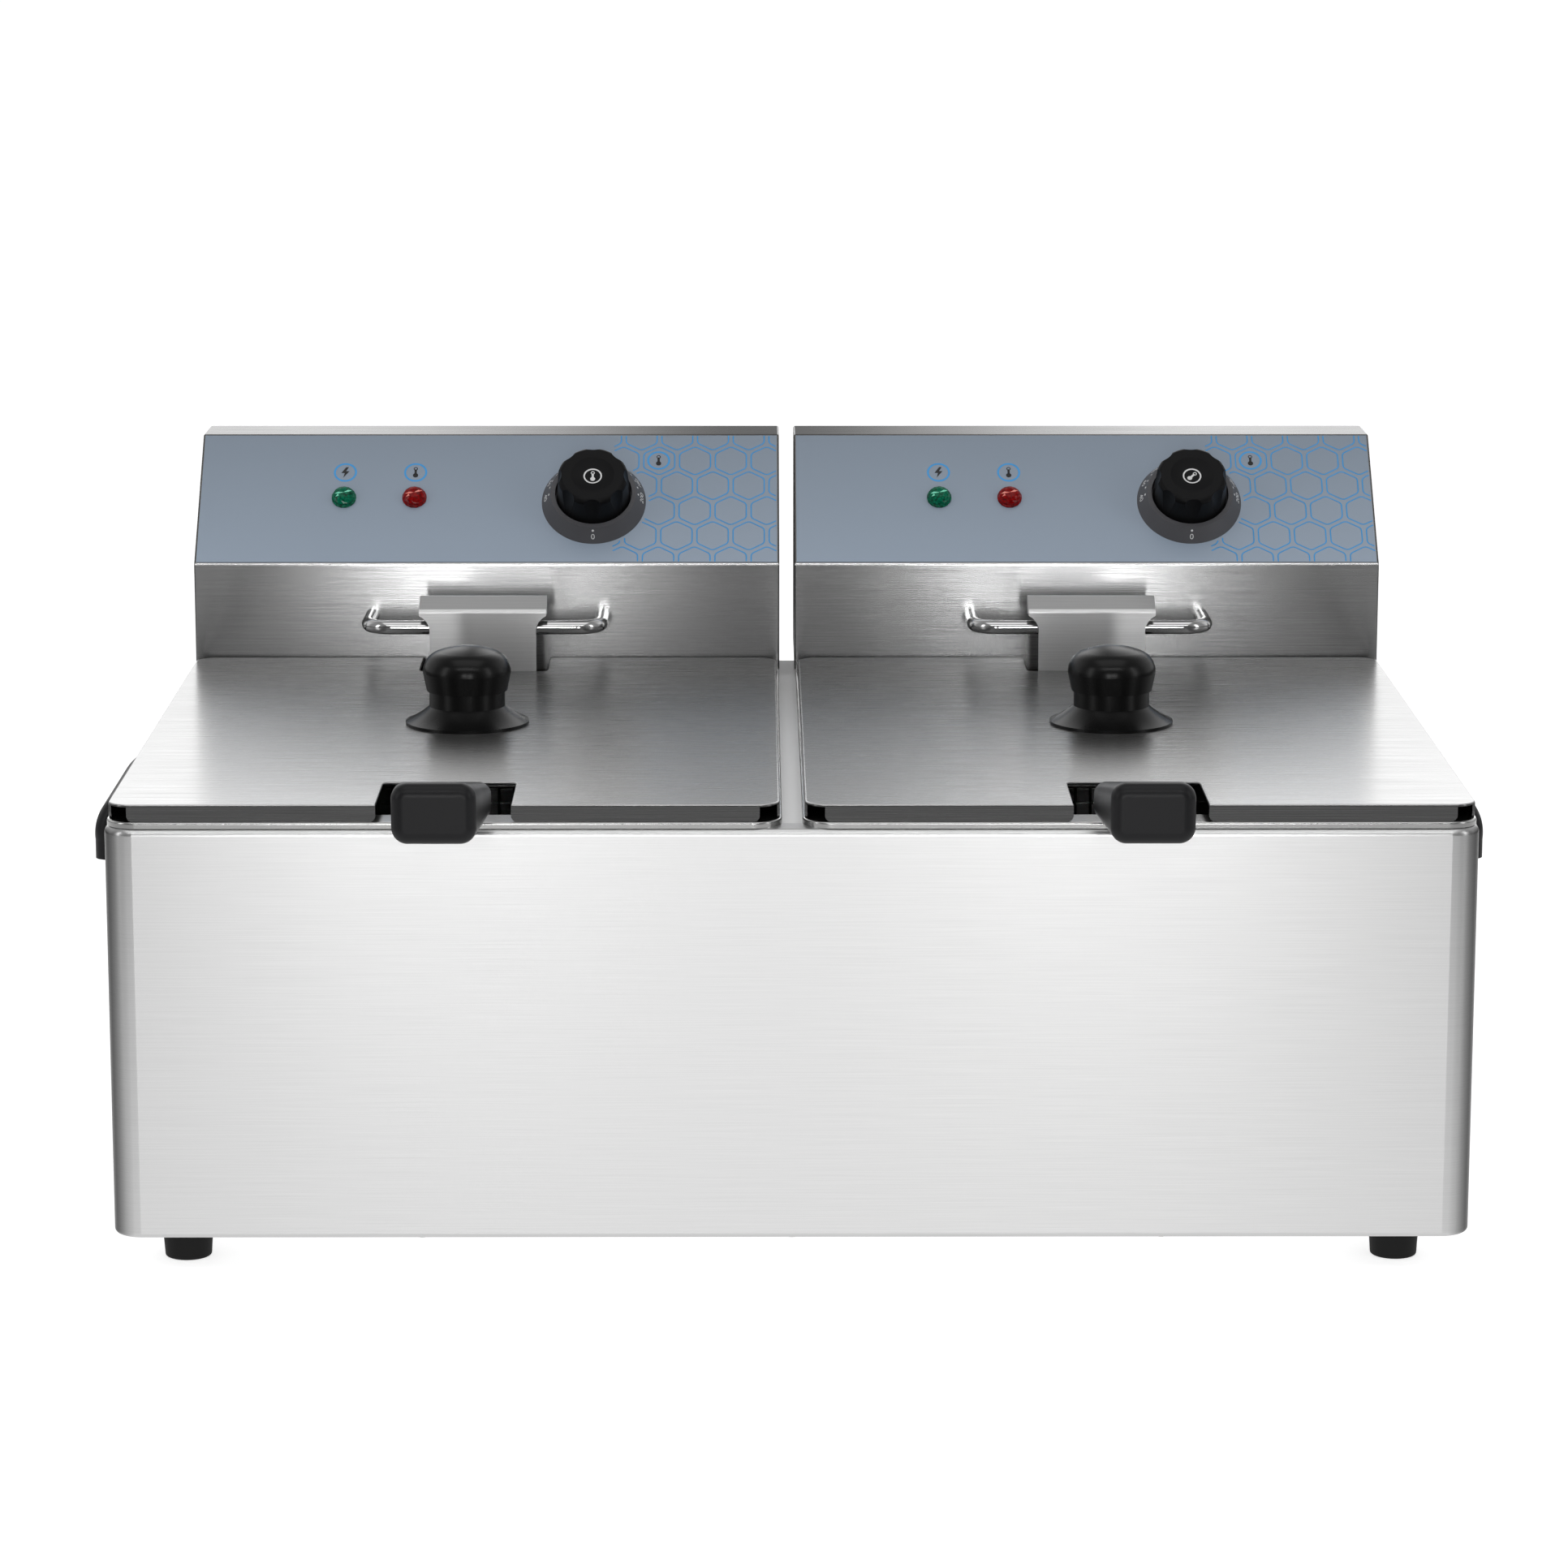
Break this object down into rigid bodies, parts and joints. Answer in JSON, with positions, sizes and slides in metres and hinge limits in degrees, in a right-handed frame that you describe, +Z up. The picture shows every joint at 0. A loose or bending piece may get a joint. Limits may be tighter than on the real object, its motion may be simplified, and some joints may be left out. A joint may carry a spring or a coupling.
{
  "type": "twin-tank electric deep fryer",
  "caption": "Countertop electric deep fryer: a stainless cabinet with drop-in tanks, lift-off control heads with dials and lamps, wire baskets and loose lids.",
  "frame": {"origin": "on the table under the middle of the whole object", "axes": "+X to the right as seen by the user, +Y to the back, +Z up"},
  "size_m": [0.5962, 0.505, 0.292],
  "materials": {
    "brushed_steel": "horizontally brushed stainless sheet",
    "tank_steel": "drawn stainless sheet",
    "bright_wire": "polished wire and sheet",
    "element_steel": "dull stainless tube",
    "rubber": "matte",
    "black_plastic": "satin",
    "black_phenolic": "glossy",
    "panel_film": "satin printed film",
    "green_lens": "clear tinted",
    "red_lens": "clear tinted",
    "inner_plastic": "moulded",
    "red_plastic": "moulded"
  },
  "bodies": {
    "cabinet": {"cabinet_shell": "brushed_steel", "deck_divider": "brushed_steel", "rear_panel": "brushed_steel", "base_plate": "brushed_steel", "rubber_feet": "rubber", "left_carry_handle": "black_plastic", "right_carry_handle": "black_plastic"},
    "left_tank": {"left_tank": "tank_steel"},
    "left_head": {"left_head_housing": "brushed_steel", "left_head_base": "tank_steel", "left_panel_film": "panel_film", "left_rest_rod": "bright_wire", "left_heating_element": "element_steel", "left_thermostat": "inner_plastic", "left_thermostat_bulb": "element_steel", "left_green_lamp": "green_lens", "left_red_lamp": "red_lens", "left_dial_ring": "black_plastic", "left_limit_switch": "inner_plastic", "left_terminal_block": "inner_plastic", "left_cable_gland": "black_plastic"},
    "left_basket": {"left_basket_frame": "bright_wire", "left_basket_floor": "bright_wire", "left_basket_walls": "bright_wire", "left_basket_hook": "bright_wire", "left_handle_stay": "bright_wire", "left_basket_grip": "black_plastic"},
    "left_lid": {"left_lid_cover": "brushed_steel", "left_lid_knob": "black_phenolic", "left_lid_stud": "bright_wire"},
    "left_dial": {"left_dial_knob": "black_plastic", "left_dial_shaft": "bright_wire"},
    "left_reset": {"left_reset_button": "red_plastic"},
    "right_tank": {"right_tank": "tank_steel"},
    "right_head": {"right_head_housing": "brushed_steel", "right_head_base": "tank_steel", "right_panel_film": "panel_film", "right_rest_rod": "bright_wire", "right_heating_element": "element_steel", "right_thermostat": "inner_plastic", "right_thermostat_bulb": "element_steel", "right_green_lamp": "green_lens", "right_red_lamp": "red_lens", "right_dial_ring": "black_plastic", "right_limit_switch": "inner_plastic", "right_terminal_block": "inner_plastic", "right_cable_gland": "black_plastic"},
    "right_basket": {"right_basket_frame": "bright_wire", "right_basket_floor": "bright_wire", "right_basket_walls": "bright_wire", "right_basket_hook": "bright_wire", "right_handle_stay": "bright_wire", "right_basket_grip": "black_plastic"},
    "right_lid": {"right_lid_cover": "brushed_steel", "right_lid_knob": "black_phenolic", "right_lid_stud": "bright_wire"},
    "right_dial": {"right_dial_knob": "black_plastic", "right_dial_shaft": "bright_wire"},
    "right_reset": {"right_reset_button": "red_plastic"}
  },
  "joints": [
    {"name": "left_tank_lift", "type": "slide", "parent": "cabinet", "child": "left_tank", "axis": [0, 0, 1], "range_m": [0, 0.2]},
    {"name": "left_head_lift", "type": "slide", "parent": "left_tank", "child": "left_head", "axis": [0, 0, 1], "range_m": [0, 0.2]},
    {"name": "left_basket_lift", "type": "slide", "parent": "left_head", "child": "left_basket", "axis": [0, 0, 1], "range_m": [0, 0.045]},
    {"name": "left_lid_slide", "type": "slide", "parent": "left_head", "child": "left_lid", "axis": [0, -0.9272, 0.3746], "range_m": [0, 0.45]},
    {"name": "left_dial_turn", "type": "hinge", "parent": "left_head", "child": "left_dial", "pos_m": [-0.09, 0.17791, 0.26398], "axis": [0, 0.7071, -0.7071], "range_deg": [0, 270]},
    {"name": "left_reset_press", "type": "slide", "parent": "left_head", "child": "left_reset", "axis": [0, -1, 0], "range_m": [0, 0.0025], "stiffness_N_per_m": 600},
    {"name": "right_tank_lift", "type": "slide", "parent": "cabinet", "child": "right_tank", "axis": [0, 0, 1], "range_m": [0, 0.2]},
    {"name": "right_head_lift", "type": "slide", "parent": "right_tank", "child": "right_head", "axis": [0, 0, 1], "range_m": [0, 0.2]},
    {"name": "right_basket_lift", "type": "slide", "parent": "right_head", "child": "right_basket", "axis": [0, 0, 1], "range_m": [0, 0.045]},
    {"name": "right_lid_slide", "type": "slide", "parent": "right_head", "child": "right_lid", "axis": [0, -0.9272, 0.3746], "range_m": [0, 0.45]},
    {"name": "right_dial_turn", "type": "hinge", "parent": "right_head", "child": "right_dial", "pos_m": [0.188, 0.17791, 0.26398], "axis": [0, 0.7071, -0.7071], "range_deg": [-45, 225]},
    {"name": "right_reset_press", "type": "slide", "parent": "right_head", "child": "right_reset", "axis": [0, -1, 0], "range_m": [0, 0.0025], "stiffness_N_per_m": 600}
  ]
}
